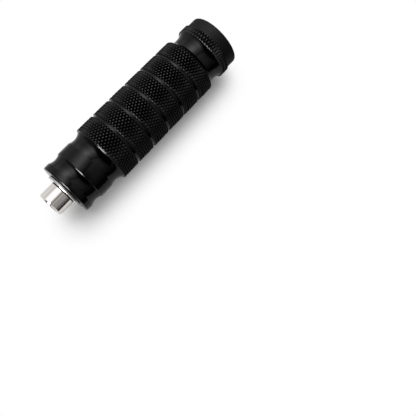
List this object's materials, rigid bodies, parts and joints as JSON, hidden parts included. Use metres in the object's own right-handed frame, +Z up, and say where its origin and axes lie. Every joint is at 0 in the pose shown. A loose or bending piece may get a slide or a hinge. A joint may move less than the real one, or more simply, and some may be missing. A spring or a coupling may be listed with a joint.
{
  "type": "motorcycle footpeg",
  "caption": "Round motorcycle footpeg with a tapered, grooved, diamond-knurled barrel, waisted collar, knurled end ring and plain cap, held by a socket screw and washer.",
  "frame": {"origin": "centre of the seat face, where the footpeg meets what carries it", "axes": "+X along the footpeg's axis, outwards from its seat; +Z up as on the machine"},
  "size_m": [0.1239, 0.034, 0.034],
  "materials": {
    "black_anodised": "black anodised, satin to gloss",
    "black_matt": "black anodised, matt",
    "bright_steel": "bright, stamped edge",
    "polished_steel": "polished"
  },
  "bodies": {
    "root": {"peg_body": "black_anodised", "end_cap": "black_matt", "flat_washer": "bright_steel", "cap_screw": "polished_steel"}
  },
  "joints": []
}
